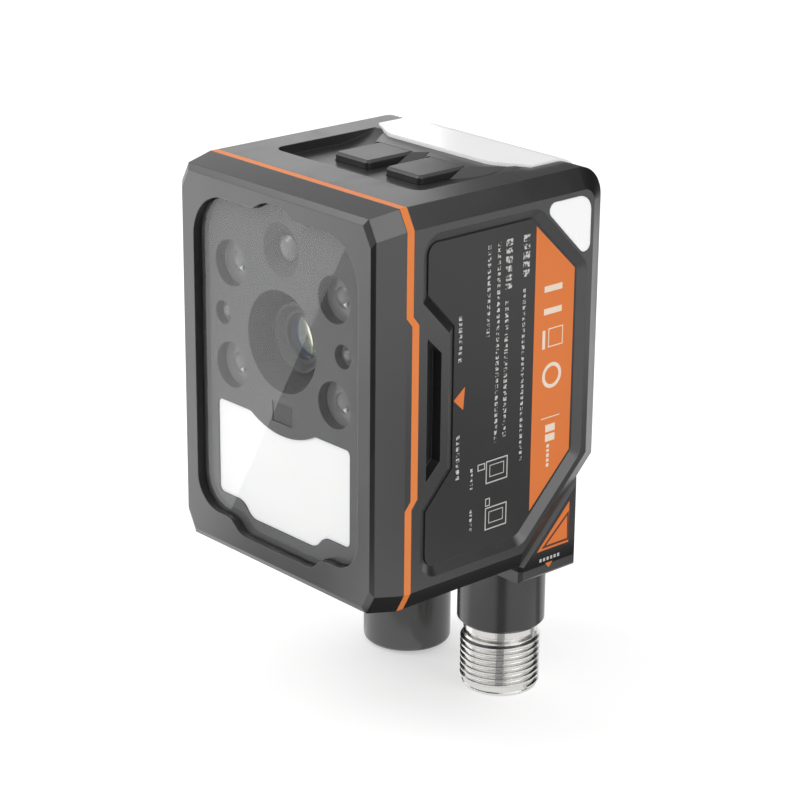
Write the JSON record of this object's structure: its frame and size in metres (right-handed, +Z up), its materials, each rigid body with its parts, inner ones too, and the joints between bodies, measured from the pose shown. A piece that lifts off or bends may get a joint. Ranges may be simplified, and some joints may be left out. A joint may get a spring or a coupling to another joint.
{
  "type": "smart camera",
  "caption": "Compact box-shaped smart camera with a lens window and flood light, push keys, a status bar and a swivelling connector block with round threaded connectors.",
  "frame": {"origin": "centre of the four threaded holes in the rear face, which lies on the optical axis", "axes": "+Y points out of the rear face, so the lens looks along -Y; +X is to the right seen from the front; +Z is up, away from the connectors"},
  "size_m": [0.043, 0.0433, 0.0813],
  "materials": {
    "housing_coat": "fine satin coat",
    "seal_rubber": "matt orange",
    "clear_window": "clear, polished",
    "mask_plastic": "matt black",
    "lamp_lens": "smoked clear",
    "sensor_window": "gloss",
    "white_diffuser": "milky satin",
    "status_lamp": "milky satin",
    "barrel_black": "black anodised",
    "lens_glass": "coated",
    "sensor_chip": "glossy",
    "circuit_board": "solder mask green",
    "black_chip": "matt",
    "light_chip": "phosphor",
    "thermal_grey": "soft grey",
    "bright_steel": "plain",
    "key_plastic": "satin",
    "switch_plastic": "matt",
    "label_film": "printed film",
    "spindle_steel": "turned",
    "ring_rubber": "matt",
    "connector_plastic": "satin black",
    "connector_metal": "nickel plated",
    "insert_plastic": "matt black",
    "contact_gold": "gold plated"
  },
  "bodies": {
    "camera": {"main_housing": "housing_coat", "front_bezel": "housing_coat", "front_seal": "seal_rubber", "cover_window": "clear_window", "optics_mask": "mask_plastic", "lens_holder": "mask_plastic", "led_lens_upper_left": "lamp_lens", "led_lens_upper_right": "lamp_lens", "led_lens_lower_left": "lamp_lens", "led_lens_lower_right": "lamp_lens", "aimer_lens_left": "lamp_lens", "aimer_lens_right": "lamp_lens", "ranging_lens": "lamp_lens", "light_sensor_window": "sensor_window", "diffuser_panel": "white_diffuser", "light_bar": "status_lamp", "status_window_left": "status_lamp", "status_window_right": "status_lamp", "lens_barrel": "barrel_black", "lens_retainer": "barrel_black", "lens_front_glass": "lens_glass", "lens_rear_glass": "lens_glass", "image_sensor": "sensor_chip", "sensor_board": "circuit_board", "interface_board": "circuit_board", "processor_board": "circuit_board", "led_board": "circuit_board", "key_board": "circuit_board", "light_bar_board": "circuit_board", "processor_chip": "black_chip", "lamp_chips": "light_chip", "flood_chips": "light_chip", "thermal_pad": "thermal_grey", "case_screws": "bright_steel", "stack_screws": "bright_steel", "key_board_screws": "bright_steel", "front_spacers": "bright_steel", "rear_spacers": "bright_steel", "key_switch_left": "switch_plastic", "key_switch_right": "switch_plastic", "side_label": "label_film"},
    "left_key": {"key_left": "key_plastic"},
    "right_key": {"key_right": "key_plastic"},
    "connector": {"connector_block": "housing_coat", "block_decal": "label_film", "swivel_spindle": "spindle_steel", "swivel_clip": "bright_steel", "swivel_ring": "ring_rubber", "male_port_collar": "connector_plastic", "male_port_shell": "connector_metal", "male_port_insert": "insert_plastic", "male_port_pins": "contact_gold", "female_port_body": "connector_plastic", "female_port_insert": "insert_plastic", "female_port_contacts": "contact_gold", "port_board": "circuit_board"}
  },
  "joints": [
    {"name": "connector_swivel", "type": "hinge", "parent": "camera", "child": "connector", "pos_m": [0, -0.007, -0.0278], "axis": [0, 0.7071, -0.7071], "range_deg": [0, 180]},
    {"name": "key_left_press", "type": "slide", "parent": "camera", "child": "left_key", "axis": [0, 0, -1], "range_m": [0, 0.0005], "stiffness_N_per_m": 3000},
    {"name": "key_right_press", "type": "slide", "parent": "camera", "child": "right_key", "axis": [0, 0, -1], "range_m": [0, 0.0005], "stiffness_N_per_m": 3000}
  ]
}
